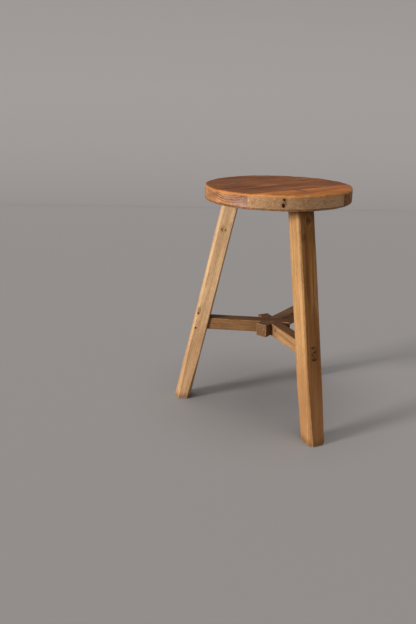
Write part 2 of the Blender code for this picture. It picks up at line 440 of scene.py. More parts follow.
# the same along, across and up the board, for what came after the tree was sawn
BOARD_NOISE = {
    "blotch": ((9.0, 28.0, 28.0), 3.0, 0.5),
    "ragged": ((70.0, 240.0, 240.0), 4.0, 0.65),
}
PORE_WAVES = (120.0, 1300.0, 1300.0)


def spot(recipe, at, centre, size):
    """1 inside a soft-edged ellipsoid and 0 outside it."""
    offset = recipe.vector("DIVIDE", recipe.vector("SUBTRACT", at, centre), size)
    return recipe.rise(recipe.vector("LENGTH", offset), 1.0, 0.45)


def place_in_tree(recipe, at, look, push):
    """How far along, out from and round the pith a point is, in metres."""
    pith_y, pith_z = look["pith"]
    along, across, up = (recipe.parts(at)[axis] for axis in range(3))
    across, up = recipe.math("SUBTRACT", across, pith_y), recipe.math("SUBTRACT", up, pith_z)
    drift = recipe.math("MULTIPLY_ADD", recipe.noise(at, (4.0, 13.0, 13.0), 3.0), look["wander"], push)
    square = recipe.math("MULTIPLY_ADD", across, across, recipe.math("MULTIPLY", up, up))
    outwards = recipe.math("ADD", recipe.math("SQRT", square), drift)
    around = recipe.math("MULTIPLY", recipe.math("ARCTAN2", across, up), math.hypot(pith_y, pith_z))
    return recipe.add("ShaderNodeCombineXYZ", {0: along, 1: outwards, 2: around}).outputs[0]


def grain_layers(recipe, at, look):
    """Every layer of the pattern, from 0 to 1, and the hearts of the knots."""
    push, hearts = 0.0, []
    for centre, size in look["knots"]:
        around_knot = spot(recipe, at, centre, (5.5 * size, 3.2 * size, 3.2 * size))
        push = recipe.math("MULTIPLY_ADD", around_knot, 1.5 * size, push)
        hearts.append(spot(recipe, at, centre, (1.4 * size, size, size)))
    tree = place_in_tree(recipe, at, look, push)

    outwards = recipe.parts(tree)[1]
    uneven = recipe.noise(recipe.vector("MULTIPLY", tree, (0.0, 1.0, 0.0)), (1.0, 70.0, 1.0), 2.0)
    years = recipe.math("MULTIPLY_ADD", uneven, 1.4, recipe.math("DIVIDE", outwards, look["ring"]))
    season, year = recipe.math("FRACT", years), recipe.math("FLOOR", years)
    strength = recipe.add("ShaderNodeTexWhiteNoise", {"W": year}, noise_dimensions="1D").outputs["Value"]
    late = recipe.math("MULTIPLY", recipe.rise(season, 0.2, 0.7), recipe.rise(season, 1.0, 0.88))
    pores = recipe.noise(tree, [look["pore_scale"] * waves for waves in PORE_WAVES], 1.0)
    early = recipe.rise(season, 0.5, 0.05)
    layers = {name: recipe.noise(tree, *waves) for name, waves in TREE_NOISE.items()}
    layers.update({name: recipe.noise(at, *waves) for name, waves in BOARD_NOISE.items()})
    layers["rings"] = recipe.math("MULTIPLY", late, recipe.math("MULTIPLY_ADD", strength, 0.8, 0.2))
    early_share = recipe.math("MULTIPLY_ADD", early, 0.75, 0.25)
    layers["pores"] = recipe.math("MULTIPLY", recipe.rise(pores, 0.57, 0.70), early_share)
    return layers, hearts


# %% [markdown]
# A palette is three colours: the early wood, the late wood, and the streaks that heartwood and old wax
# leave. `wood_colour` lays them on in the order of the layers. `wear_and_shine` goes on last. It rubs the
# marked corners pale, makes pores and streaks a little duller than the wood between them, and lets the
# late wood stand up by a fraction of a millimetre, as it does on a scrubbed stool.

# %% Colours, wear and shine
RELIEF = {"fibre": 0.3, "rings": 0.35, "pores": -0.9, "mottle": 0.7}
RELIEF_DEPTH = 0.0009


def wood_colour(recipe, layers, palette, look):
    light, dark, streak = palette
    colour = recipe.blend(recipe.rise(layers["blotch"], 0.30, 0.72, 0.75), light, dark)
    ring = recipe.math("MULTIPLY", layers["rings"], look["ring_share"])
    colour = recipe.blend(ring, colour, dark)
    colour = recipe.blend(recipe.math("MULTIPLY", ring, look["ring_streak"]), colour, streak)
    colour = recipe.blend(recipe.rise(layers["sweep"], 0.50, 0.72, look["sweep"]), colour, streak)
    colour = recipe.blend(recipe.rise(layers["sweep"], 0.45, 0.30, look["sweep"]), colour, light)
    colour = recipe.blend(recipe.rise(layers["streak"], 0.52, 0.74, look["streak_share"]), colour, streak)
    colour = recipe.blend(recipe.rise(layers["streak"], 0.46, 0.30, 0.5), colour, light)
    spread = look["mottle"]
    tone = recipe.math("MULTIPLY_ADD", layers["mottle"], 2 * spread, 1 - spread)
    tone = recipe.math("MULTIPLY_ADD", layers["fibre"], 0.4, recipe.math("SUBTRACT", tone, 0.2))
    ray = look["ray"]
    tone = recipe.math("MULTIPLY_ADD", layers["ray"], ray, recipe.math("SUBTRACT", tone, ray / 2))
    return recipe.brighten(colour, tone)


def add_patches(recipe, at, layers, colour, patches):
    """Ragged patches of another colour. Each is its middle, its reach, a colour and a share."""
    for centre, size, tint, share in patches:
        ragged = recipe.rise(layers["ragged"], 0.30, 0.56)
        inside = recipe.math("MULTIPLY", spot(recipe, at, centre, size), ragged)
        colour = recipe.blend(recipe.math("MULTIPLY", inside, share), colour, tint)
    return colour


def add_pores_and_knots(recipe, layers, hearts, colour, look):
    colour = recipe.blend(recipe.math("MULTIPLY", layers["pores"], look["pore_share"]), colour, PORE)
    for heart in hearts:
        heart = recipe.math("MULTIPLY", heart, recipe.rise(layers["ragged"], 0.15, 0.5, 0.9))
        colour = recipe.blend(heart, colour, KNOT)
    return colour


def wear_and_shine(recipe, layers, colour, look):
    arris = recipe.add("ShaderNodeAttribute", {}, attribute_name="arris").outputs["Fac"]
    rubbed = recipe.math("MULTIPLY", arris, recipe.rise(layers["ragged"], 0.30, 0.60, 0.7))
    recipe.feed(recipe.shader.inputs["Base Color"], recipe.blend(rubbed, colour, look["worn"]))

    rough = recipe.math("MULTIPLY_ADD", layers["blotch"], 0.24, look["rough"] - 0.12)
    rough = recipe.math("MULTIPLY_ADD", layers["pores"], 0.25, rough)
    rough = recipe.math("MULTIPLY_ADD", arris, -0.08, rough, clamp=True)
    recipe.feed(recipe.shader.inputs["Roughness"], rough)
    recipe.shader.inputs["Specular IOR Level"].default_value = 0.15

    relief = 0.0
    for layer, height in RELIEF.items():
        relief = recipe.math("MULTIPLY_ADD", layers[layer], height, relief)
    bump = {"Height": relief, "Strength": look["bump"], "Distance": RELIEF_DEPTH}
    recipe.feed(recipe.shader.inputs["Normal"], recipe.add("ShaderNodeBump", bump).outputs[0])
    return recipe.material


def elm(name, grain, palette, finishes=(), **changes):
    """Wood whose grain runs along the X axis of the grain frame, with finishes laid on it in turn."""
    look = {**LOOK, **changes}
    recipe = Recipe(name)
    at = recipe.place(grain)
    layers, hearts = grain_layers(recipe, at, look)
    colour = wood_colour(recipe, layers, palette, look)
    colour = add_patches(recipe, at, layers, colour, look["patches"])
    for finish in finishes:
        colour = finish(recipe, at, layers, colour, look)
    colour = add_pores_and_knots(recipe, layers, hearts, colour, look)
    return wear_and_shine(recipe, layers, colour, look)


# %% [markdown]
# A finish is laid on after the wood is coloured. Most finishes here keep to a band of height: a foot is
# darker towards the floor, painted shade darkens the corner under the seat, and wax lies on the top of the
# seat. `band` paints between two heights, with an edge as ragged as worn wax.

# %% Bands of dirt and wax
# a dark brown that stands for dirt, and for painted shade where it is laid under the seat
DIRT_AND_SHADE = (0.16, 0.075, 0.032)


def frayed_height(recipe, layers, fray):
    """Each point's height in the room, moved up and down by up to half the fray."""
    height = recipe.parts(recipe.add("ShaderNodeTexCoord", {}).outputs["Object"])[2]
    return recipe.math("MULTIPLY_ADD", recipe.math("SUBTRACT", layers["ragged"], 0.5), 2.5 * fray, height)


def band(clean, full, tint, share, fray=0.0):
    """A finish that starts at one height and is full at another, which may be above or below it."""

    def finish(recipe, at, layers, colour, look):
        inside = recipe.rise(frayed_height(recipe, layers, fray), clean, full, share)
        return recipe.blend(inside, colour, tint)

    return finish


# %% [markdown]
# ## The seat
#
# Two boards were glued edge to edge and sawn round, so their grain runs one way, along the joint. The
# CAD model gives the joint: a dowel crosses it squarely, so the joint lies through the dowels' middles,
# and the grain runs along the line of the dowels.

# %% Where the boards meet
dowel_middles = [sum(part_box(f"board_dowel_{place_name}"), Vector()) / 2 for place_name in ("left", "right")]
along_joint = (dowel_middles[1] - dowel_middles[0]).normalized()
across_joint = Vector((-along_joint.y, along_joint.x, 0))
JOINT = dowel_middles[0]
seat_grain = Matrix.Translation(STOOL_AXIS + Vector((0, 0, HEIGHT))) @ Matrix(
    (along_joint, across_joint, (0, 0, 1))
).transposed().to_4x4()
print("joint", round(1000 * abs((JOINT - STOOL_AXIS).dot(across_joint))), "mm from the stool's axis")


def rim_place(azimuth, below_top):
    """A point on the seat's rim, in the seat's grain frame."""
    turn = math.radians(azimuth)
    outwards = Vector((math.cos(turn), math.sin(turn), 0)) * SEAT_RADIUS
    return seat_grain.inverted() @ (STOOL_AXIS + outwards + Vector((0, 0, HEIGHT - below_top)))


# %% [markdown]
# The two boards differ. The rear one is dark with old wax on top. Its pith lies well above it, so its end
# shows rings like a stack of shallow bowls, and a pale patch is left near the joint where the surface tore.
# The front one is younger, orange on top and straw-coloured round the rim, with its pith below. Both get
# their place in the tree from `pith`: across the board and up from the seat's top, in metres. Wax fills the
# top, and the orange band over its edge is partly wax and partly a painted highlight. A dark line of
# painted shadow runs along the bottom, and at the right the rim is stained dark.

# %% Finishes of the seat
TOP_START = HEIGHT - 0.0019
TOP_CHANGES = {"streak_share": 0.8, "sweep": 0.7, "mottle": 0.6, "ring_share": 0.6, "ring_streak": 0.4}
STAIN_FROM = 0.1626  # X in the room, where the stain on the rim starts


def waxed_top(palette, patches=()):
    """The wood of the top under its wax."""

    def finish(recipe, at, layers, colour, look):
        top = wood_colour(recipe, layers, palette, {**look, **TOP_CHANGES})
        top = add_patches(recipe, at, layers, top, patches)
        inside = recipe.rise(frayed_height(recipe, layers, 0.0004), TOP_START, TOP_START + 0.0008)
        return recipe.blend(inside, colour, top)

    return finish


def stained_right(tint, share):
    """A stain on everything beyond a plane square to X."""

    def finish(recipe, at, layers, colour, look):
        x = recipe.parts(recipe.add("ShaderNodeTexCoord", {}).outputs["Object"])[0]
        uneven = recipe.rise(layers["streak"], 0.90, 0.40, share)
        inside = recipe.math("MULTIPLY", recipe.rise(x, STAIN_FROM - 0.0004, STAIN_FROM + 0.0004), uneven)
        return recipe.blend(inside, colour, tint)

    return finish


# painted shadow: a dark line along the bottom of the rim
painted_bottom_shadow = band(UNDERSIDE + 0.0052, UNDERSIDE + 0.0032, (0.100, 0.040, 0.015), 0.7, 0.0022)
REAR_TOP = ((0.33, 0.104, 0.020), (0.165, 0.047, 0.011), (0.070, 0.022, 0.008))
FRONT_TOP = ((0.56, 0.185, 0.028), (0.36, 0.100, 0.013), (0.22, 0.056, 0.010))

# %% Wood for the seat
rear_board_wood = elm(
    "rear_board_wood",
    seat_grain,
    ((0.72, 0.355, 0.155), (0.26, 0.100, 0.042), (0.075, 0.024, 0.011)),
    # orange wax and a painted highlight over the edge, then the top with pale wear along its middle and three
    # dark streaks
    finishes=[
        band(HEIGHT - 0.0052, HEIGHT - 0.0034, (0.62, 0.235, 0.066), 0.85, 0.0058),
        waxed_top(
            REAR_TOP,
            [
                ((-0.024, 0.003, 0.0), (0.034, 0.013, 0.01), (0.46, 0.17, 0.06), 0.7),
                ((-0.013, 0.118, 0.0), (0.070, 0.014, 0.01), (0.09, 0.035, 0.018), 0.8),
                ((0.048, 0.093, 0.0), (0.060, 0.013, 0.01), (0.10, 0.036, 0.018), 0.8),
                ((-0.075, 0.070, 0.0), (0.060, 0.016, 0.01), (0.10, 0.036, 0.018), 0.7),
                ((0.030, -0.048, 0.0), (0.090, 0.009, 0.01), (0.42, 0.155, 0.055), 0.6),
            ],
        ),
        painted_bottom_shadow,
    ],
    worn=(0.56, 0.210, 0.062),
    pith=(-0.030, 0.110),
    ring=0.0052,
    ring_share=1.0,
    ring_streak=0.95,
    wander=0.007,
    ray=0.5,
    # the torn surface beside the joint: whitish below, brown above and to the left
    patches=[
        (rim_place(-115, 0.022), (0.020, 0.024, 0.008), (0.48, 0.38, 0.37), 0.50),
        (rim_place(-113, 0.012), (0.012, 0.014, 0.008), (0.36, 0.21, 0.16), 0.6),
        (rim_place(-122, 0.014), (0.028, 0.038, 0.010), (0.36, 0.20, 0.145), 0.75),
    ],
)
front_board_wood = elm(
    "front_board_wood",
    seat_grain,
    ((0.68, 0.42, 0.23), (0.50, 0.28, 0.14), (0.26, 0.125, 0.055)),
    # the stain, orange wax and a painted highlight over the edge, then the top with streaks along the grain
    # and a bright left end
    finishes=[
        stained_right((0.24, 0.078, 0.002), 1.0),
        band(HEIGHT - 0.0056, HEIGHT - 0.0036, (0.66, 0.265, 0.068), 0.85, 0.0064),
        waxed_top(
            FRONT_TOP,
            [
                ((-0.032, -0.116, 0.0), (0.034, 0.012, 0.01), (0.26, 0.085, 0.03), 0.7),
                ((0.060, -0.078, 0.0), (0.110, 0.005, 0.01), (0.68, 0.27, 0.085), 0.7),
                ((0.020, -0.098, 0.0), (0.080, 0.006, 0.01), (0.28, 0.095, 0.032), 0.6),
                (rim_place(-101, 0.0), (0.030, 0.018, 0.010), (0.76, 0.30, 0.085), 0.85),
            ],
        ),
        painted_bottom_shadow,
    ],
    worn=(0.62, 0.285, 0.100),
    pith=(-0.115, -0.075),
    ring=0.0030,
    ring_share=0.9,
    mottle=0.62,
    ray=0.6,
    pore_share=0.6,
    pore_scale=0.42,
    # the rim: greyer in the middle, dirt round the nail holes, yellower at the right
    patches=[
        (rim_place(-80, 0.015), (0.080, 0.080, 0.040), (0.36, 0.200, 0.095), 0.72),
        (rim_place(-84.7, 0.0135), (0.0075, 0.0075, 0.0130), (0.11, 0.050, 0.022), 0.75),
        (rim_place(-48, 0.015), (0.050, 0.050, 0.040), (0.74, 0.44, 0.220), 0.60),
    ],
)
print("seat woods:", rear_board_wood.name, front_board_wood.name)

# %% [markdown]
# A board starts as the whole round seat. Both rims are rounded, the saw cuts along the joint, and the two
# long edges there are eased by half a millimetre, which is what makes a glued joint show as a fine line.
# Loops every few millimetres then let the plane and the years leave their mark: a long swell, a shorter
# ripple, and nicks that keep to the top edge. The holes for the leg tenons follow the legs' slope. Two
# square-cut nails once went into the front rim, and left holes.

# %% Sizes of the seat's details
SEAT_ROUNDING = 0.0032
JOINT_EASING = 0.0006
SEAT_LOOPS = ((along_joint, 0.008), (across_joint, 0.008), (Vector((0, 0, 1)), 0.006))
SWELL = 0.0004
RIPPLE, RIPPLE_WAVES = 0.00025, (0.03, 0.012, 0.012)
NICKS, NICK_WAVES, NICK_REACH = 0.0011, (0.013, 0.011, 0.011), 0.007
TENON_RADIUS = 0.012
TENON_ROOT, TENON_SPARE = 0.02, 0.08  # its length inside the leg, and above it before the level cut
HOLE_SLACK = 0.0004
DOWEL_HOLE = 0.058
NAIL_DEPTH = 0.009
# azimuth, below the top, width, height and tilt of each old nail hole in the rim
NAIL_HOLES = ((-84.5, 0.0078, 0.0042, 0.0052, 0), (-84.9, 0.0188, 0.0058, 0.0082, 12))
print("nicks of up to", round(1000 * NICKS, 1), "mm,", len(NAIL_HOLES), "nail holes")

# %% Seat boards

def tenon_blank(side, radius, top):
    """A round bar on a leg's middle line, from below the seat to a level cut."""
    leg_frame = legs[side][0]
    bm = round_blank(radius, LEG_LENGTH - TENON_ROOT, LEG_LENGTH + TENON_SPARE, 64)
    place(bm, leg_frame)
    saw(bm, Vector((0, 0, top)), Vector((0, 0, 1)))
    return bm


def dowel_hole(dowel):
    """A cutter round one of the board dowels."""
    low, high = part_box(dowel)
    lie_down = across_joint.to_track_quat("Z", "Y").to_matrix().to_4x4()
    bm = round_blank((high.z - low.z) / 2 + GAP, -DOWEL_HOLE / 2, DOWEL_HOLE / 2, 24)
    place(bm, Matrix.Translation((low + high) / 2) @ lie_down)
    return make_object("dowel_cutter", bm)


def nail_hole(azimuth, below_top, width, height, tilt):
    """A cutter for a hole that an old nail left in the rim."""
    bm = box_blank((-NAIL_DEPTH, -width / 2, -height / 2), (NAIL_DEPTH, width / 2, height / 2))
    lengthwise = [edge for edge in bm.edges if edge.calc_length() > NAIL_DEPTH]
    ease(bm, lengthwise, width * 0.4)
    turn = Matrix.Rotation(math.radians(azimuth), 4, "Z") @ Matrix.Rotation(math.radians(tilt), 4, "X")
    rim = STOOL_AXIS + Matrix.Rotation(math.radians(azimuth), 3, "Z") @ Vector((SEAT_RADIUS, 0, 0))
    place(bm, Matrix.Translation(rim + Vector((0, 0, HEIGHT - below_top))) @ turn)
    return make_object("nail_cutter", bm)


def near_top_edge(point):
    """1 on the seat's top edge, falling to 0 within a finger's width of it."""
    outwards = math.hypot(point.x - STOOL_AXIS.x, point.y - STOOL_AXIS.y)
    return max(0.0, 1 - math.hypot(outwards - SEAT_RADIUS, point.z - HEIGHT) / NICK_REACH)


def is_level(middle, edge):
    return abs(edge.verts[0].co.z - edge.verts[1].co.z) < 1e-6


def is_on_joint(middle, edge):
    return all(abs((vert.co - JOINT).dot(across_joint)) < 0.001 for vert in edge.verts)


def seat_board(name, beyond, seed):
    """One board. Beyond is 1 for the side of the joint that across_joint points to, or else -1."""
    bm = round_blank(SEAT_RADIUS, UNDERSIDE, HEIGHT, 192)
    place(bm, Matrix.Translation(STOOL_AXIS))
    ease(bm, edges_where(bm, is_level), SEAT_ROUNDING, 5)
    saw(bm, JOINT + across_joint * beyond * GAP / 2, -beyond * across_joint)
    ease(bm, edges_where(bm, is_on_joint), JOINT_EASING, 2)
    for direction, spacing in SEAT_LOOPS:
        add_loops(bm, direction, spacing)
    hand_planed(bm, seat_grain, SWELL, seed)
    hand_planed(bm, seat_grain, RIPPLE, seed + 5, waves=RIPPLE_WAVES)
    hand_planed(bm, seat_grain, NICKS, seed + 9, near_top_edge, NICK_WAVES)
    board = make_object(name, bm)
    hole = TENON_RADIUS + HOLE_SLACK
    cutters = [make_object("tenon_cutter", tenon_blank(side, hole, HEIGHT + 0.02)) for side in SIDES]
    cutters += [dowel_hole(f"board_dowel_{place_name}") for place_name in ("left", "middle", "right")]
    if beyond < 0:
        cutters += [nail_hole(*hole) for hole in NAIL_HOLES]
    return joined(board, cutters)


settle(seat_board("rear_board", 1, 3.1), "seat_board_rear", rear_board_wood)
settle(seat_board("front_board", -1, 7.7), "seat_board_front", front_board_wood)

# %% [markdown]
# ## The legs
#
# A leg is a square post with its two outer corners planed off, where a shin or a broom would catch them.
# Towards the floor each corner was taken down further with a drawknife, so the last hand's breadth is
# slimmer, and years of dragging have rounded the foot. Each leg has its own tree: the left one is pale
# straw, the front one honey-coloured. The grain frame lies in the leg, with X up it, and is turned a
# little so that the rings run out of the faces as pointed arches. The outward faces are dark, partly from
# the wax of shins and partly from painted shade, since they look away from the light. The finish that
# darkens them knows that face by a plane, so the colour stops at the corner, as it does on the real leg.

# %% Places and finishes on a leg


def lean_and_roll(lean, roll):
    return Matrix.Rotation(math.radians(roll), 4, "X") @ Matrix.Rotation(math.radians(lean), 4, "Z")


def leg_grain(side, lean, roll):
    """A grain frame along a leg, leaning and rolled by a few degrees."""
    upright = Matrix.Rotation(-math.pi / 2, 4, "Y")  # X of the grain runs up the leg
    return legs[side][0] @ upright @ lean_and_roll(lean, roll)


def on_leg(side, grain, outwards, sideways, up):
    """A point given in a leg's own frame, in its grain frame."""
    return grain.inverted() @ (legs[side][0] @ Vector((outwards, sideways, up)))


half_width = {side: legs[side][1] / 2 for side in SIDES}
half_depth = {side: legs[side][2] / 2 for side in SIDES}
OLD_WAX = (0.36, 0.175, 0.070)
# shin wax and painted shade: the outward faces are darkened partly by wax, partly as painted shade for faces
# turned from the light
SHIN_WAX_AND_SHADE = (0.42, 0.285, 0.14)  # what it does to the wood's own colour
SHIN_WAX_AND_SHADE_SHARES = {"left": 0.3, "front": 1.0, "rear": 0.8}
# painted shadow: how the lower half of a leg is darkened, most on the front leg
LOWER_LEG_SHADOW = (0.37, 0.170, 0.062)
TENON_DIRT = (0.035, 0.014, 0.006)
SMUDGE = (0.0030, 0.0060, 0.0060)  # its reach on a leg, where X runs up
left_grain = leg_grain("left", 1.5, 20)
front_grain = leg_grain("front", 1.2, -35)
rear_grain = leg_grain("rear", 1.6, 60)


def on_near_face(outwards, up):
    """A point on the left leg's near face, in its grain frame."""
    return on_leg("left", left_grain, outwards, half_width["left"], up)


def on_outer_face(side, grain, sideways, up):
    return on_leg(side, grain, half_depth[side], sideways, up)


def shin_wax_and_shade(side, share):
    """Darkens what lies in the plane of a leg's outward face: wax where shins and trousers rub, and painted
    shade.
    """

    def finish(recipe, at, layers, colour, look):
        outwards = recipe.parts(recipe.place(legs[side][0]))[0]
        face = recipe.rise(outwards, half_depth[side] - 0.0034, half_depth[side] - 0.0008, share)
        face = recipe.math("MULTIPLY", face, recipe.rise(layers["streak"], 0.85, 0.35))
        return recipe.blend(face, colour, recipe.blend(1.0, colour, SHIN_WAX_AND_SHADE, "MULTIPLY"))

    return finish


def leg_finishes(side, palette, low):
    """Wax and painted shade on the outward face, painted shade in the corner under the seat, a painted shadow
    of share low over the lower half, a darker foot and the tenon's end.
    """
    tenon_end = [0.8 * part for part in palette[1]]
    return [
        # wax and painted shade on the outward face
        shin_wax_and_shade(side, SHIN_WAX_AND_SHADE_SHARES[side]),
        # painted shade in the corner under the seat
        band(UNDERSIDE - 0.016, UNDERSIDE - 0.002, DIRT_AND_SHADE, 0.55, 0.006),
        # painted shadow over the lower half
        band(0.280, 0.040, LOWER_LEG_SHADOW, low, 0.030),
        # darker towards the floor
        band(0.020, 0.001, DIRT_AND_SHADE, 0.75, 0.010),
        band(HEIGHT - 0.0020, HEIGHT - 0.0010, tenon_end, 0.92),
    ]


def tenon_smudges(side, grain, size):
    """Dark dirt in the end of the bar's tenon on a leg's outer face: above, on and below its middle."""
    low, high = bars[side]
    middle = (low.z + high.z) / 2
    marks = ((0.002, low.z + 0.002), (-0.001, middle), (0.0025, middle + 0.004), (-0.001, high.z - 0.001))
    return [(on_outer_face(side, grain, across, z), size, TENON_DIRT, 0.95) for across, z in marks]


# %% Wood for the legs
leg_woods = {
    "left": elm(
        "left_leg_wood",
        left_grain,
        ((0.76, 0.50, 0.275), (0.58, 0.345, 0.17), (0.42, 0.22, 0.095)),
        finishes=leg_finishes("left", REAR_TOP, 0.35),
        worn=(0.74, 0.50, 0.28),
        ring_share=0.5,
        knots=[(on_near_face(0.0035, 0.413), 0.0027), (on_near_face(-0.0041, 0.414), 0.0021)],
        # a dark ring round the pair of knots, and dirt above a nail hole
        patches=[
            (on_near_face(0.0005, 0.414), (0.010, 0.010, 0.010), OLD_WAX, 0.6),
            (on_near_face(0.0096, 0.222), (0.014, 0.006, 0.006), DIRT_AND_SHADE, 0.8),
            *tenon_smudges("left", left_grain, SMUDGE),
        ],
    ),
    "front": elm(
        "front_leg_wood",
        front_grain,
        ((0.64, 0.365, 0.155), (0.47, 0.24, 0.092), (0.30, 0.135, 0.045)),
        finishes=leg_finishes("front", FRONT_TOP, 0.65),
        worn=(0.68, 0.40, 0.18),
        pith=(0.05, -0.07),
        ring=0.0038,
        ring_share=0.7,
        streak_share=0.7,
        knots=[(on_outer_face("front", front_grain, 0.0032, 0.452), 0.0030)],
        # a dark halo round the knot, and a spot below it
        patches=[
            (on_outer_face("front", front_grain, 0.0032, 0.452), (0.011, 0.008, 0.008), KNOT, 0.6),
            (on_outer_face("front", front_grain, -0.010, 0.420), (0.009, 0.006, 0.006), KNOT, 0.5),
            *tenon_smudges("front", front_grain, SMUDGE),
        ],
    ),
    "rear": elm(
        "rear_leg_wood",
        rear_grain,
        ((0.64, 0.385, 0.18), (0.48, 0.26, 0.11), (0.34, 0.165, 0.065)),
        finishes=leg_finishes("rear", REAR_TOP, 0.6),
        pith=(-0.06, 0.05),
        ring_share=0.6,
        knots=[(on_outer_face("rear", rear_grain, 0.006, 0.300), 0.0035)],
        patches=tenon_smudges("rear", rear_grain, SMUDGE),
    ),
}
print("leg woods:", ", ".join(leg_woods))

# %% [markdown]
# The post is planed in its own upright frame, where a corner is simply where X and Y are both large. Only
# then is it leaned over and cut level at the floor and under the seat. The sole and the shoulder are held
# still while the faces are planed. The joints are cut last, so that their edges stay crisp. Two nails once
# went into the left leg, beside its bar.

# %% Leg shapes
INNER_CHAMFER = 0.0015
TAPER_FROM = 0.120  # the drawknife's extra cuts start this far up the leg
TAPER_DEPTH = 0.0026
FOOT_ROUNDING = 0.0030
LEG_EASING = 0.0012
LEG_SPARE = 0.05  # past the floor and the seat, until the post is cut to length
LEG_LOOPS = ((2, 0.008), (0, 0.0085), (1, 0.0085))  # axis of the leg's frame, and spacing
LEG_HOLLOWS = 0.0007
HOLD_STILL = 0.01  # how far from a joint or a sole the plane starts to bite in full
MORTISE_WIDTH = 0.012
MORTISE_SLACK = 0.0011  # above and below the tenon, where the light doesn't reach
CORNERS = [(x, y) for x in (-1, 1) for y in (-1, 1)]
SEEDS = {"left": 11.3, "front": 23.9, "rear": 37.1}
# thickness at the head and at the point, and depth
SEAT_WEDGE = (0.0032, 0.0010, 0.020)
STRETCHER_WEDGE = (0.0026, 0.0008, 0.016)
WEDGE_SPARE = 0.01  # past the face, until the wedge is sawn off
SLOT_LENGTH = 0.05
# outwards, up and diameter of each old nail hole in the left leg
LEG_NAIL_HOLES = ((0.0096, 0.2156, 0.0046), (0.0073, 0.1807, 0.0050))


def away_from_ends(point):
    """0 on the floor and under the seat, and 1 clear of both."""
    above_floor = max(0, point.z) / HOLD_STILL
    below_seat = max(0, UNDERSIDE - point.z - 0.001) / HOLD_STILL
    return min(1, above_floor, below_seat)


def leg_post(side):
    leg_frame, width, depth, chamfer = legs[side]
    low, high = (-depth / 2, -width / 2, -LEG_SPARE), (depth / 2, width / 2, LEG_LENGTH + LEG_SPARE)
    bm = box_blank(low, high)
    for x, y in CORNERS:
        corner_chamfer = chamfer if x > 0 else INNER_CHAMFER
        start = Vector((x * depth / 2, y * (width / 2 - corner_chamfer), TAPER_FROM))
        diagonal = Vector((x, y, 0)).normalized()
        saw(bm, start, diagonal)
        saw(bm, start, diagonal - Vector((0, 0, TAPER_DEPTH / TAPER_FROM)))
    place(bm, leg_frame)
    saw(bm, Vector((0, 0, 0)), Vector((0, 0, -1)))
    saw(bm, Vector((0, 0, UNDERSIDE - GAP)), Vector((0, 0, 1)))
    ease(bm, edges_where(bm, lambda middle, edge: middle.z < 1e-5), FOOT_ROUNDING, 4)
    ease(bm, edges_where(bm, lambda middle, edge: 1e-5 < middle.z < UNDERSIDE - 0.001), LEG_EASING, 3)
    for axis, spacing in LEG_LOOPS:
        add_loops(bm, leg_frame.to_3x3().col[axis], spacing)
    up_the_leg = leg_frame @ Matrix.Rotation(-math.pi / 2, 4, "Y")
    hand_planed(bm, up_the_leg, LEG_HOLLOWS, SEEDS[side], away_from_ends)
    return make_object(f"{side}_leg", bm)


def tenon_of_bar(side, slack_y, slack_z, start, end):
    """A box round a bar's tenon, in the world: the mortise, when it has slack."""
    low, high = bars[side]
    half = MORTISE_WIDTH / 2 + slack_y
    bm = box_blank((start, -half, low.z - slack_z), (end, half, high.z + slack_z))
    place(bm, spoke_frame(side))
    return bm


def wedge_blank(thick, point, depth, length):
    """A wedge that points down Z and is thick along X, with some spare above its head at z = 0."""
    bm = box_blank((-0.5, -length / 2, -depth), (0.5, length / 2, WEDGE_SPARE))
    for vert in bm.verts:
        share = (vert.co.z + depth) / depth
        vert.co.x *= point + (thick - point) * share
    return bm


def slot_cutter(wedge_size, spot_frame):
    """A cutter for the slot that a wedge is driven into."""
    thick, point, depth = wedge_size
    bm = wedge_blank(thick + 2 * GAP, point + 2 * GAP, depth, SLOT_LENGTH)
    place(bm, spot_frame)
    return make_object("slot", bm)


def seat_wedge_place(side):
    """The frame of the wedge in a leg's tenon: square to the seat's grain."""
    leg_frame = legs[side][0]
    up = leg_frame.to_3x3().col[2]
    line = (across_joint - up * across_joint.dot(up)).normalized()
    middle = leg_frame @ Vector((0, 0, LEG_LENGTH * HEIGHT / UNDERSIDE))
    return Matrix.Translation(middle) @ Matrix((line.cross(up), line, up)).transposed().to_4x4()


def leg_nail_hole(outwards, up, diameter):
    """A cutter for an old nail's hole in the left leg's near face."""
    bm = round_blank(diameter / 2, -NAIL_DEPTH, NAIL_DEPTH, 12)
    place(bm, Matrix.Rotation(math.pi / 2, 4, "X"))
    place(bm, legs["left"][0] @ Matrix.Translation((outwards, half_width["left"], up)))
    return make_object("nail_cutter", bm)


# %% Legs
PROUD = 0.0003  # how far a tenon's end and its wedge stand out of the face
END_EASING = 0.0004

for side in SIDES:
    leg = leg_post(side)
    tenon = tenon_blank(side, TENON_RADIUS, HEIGHT + PROUD)
    ease(tenon, edges_where(tenon, lambda middle, edge: middle.z > HEIGHT), END_EASING, 2)
    joined(leg, [make_object("tenon", tenon)], "UNION")
    mortise = make_object("mortise", tenon_of_bar(side, 0, 0, 0.1, 0.25))
    cutters = [mortise, slot_cutter(SEAT_WEDGE, seat_wedge_place(side))]
    if side == "left":
        cutters += [leg_nail_hole(*hole) for hole in LEG_NAIL_HOLES]
    joined(leg, cutters)
    settle(leg, f"leg_{side}", leg_woods[side])

# %% [markdown]
# ## The stretchers
#
# Three bars cross at one point and stay level on top. Each gives up two thirds of its thickness there: the
# left bar keeps the top third, the rear bar the middle and the front bar the bottom. Past the crossing
# each runs on as a short stub with its end grain showing. A painted shadow of the seat darkens their tops,
# painted shade darkens the crossing, and the ends of the stubs are dark with grime in their end grain.

# %% Finishes of the bars
# painted shadow: the seat's shadow on the bars' tops
SEAT_SHADOW_TINT = (0.155, 0.060, 0.016)
SEAT_SHADOW_SHARES = {"left": 0.72, "front": 0.78, "rear": 0.12}
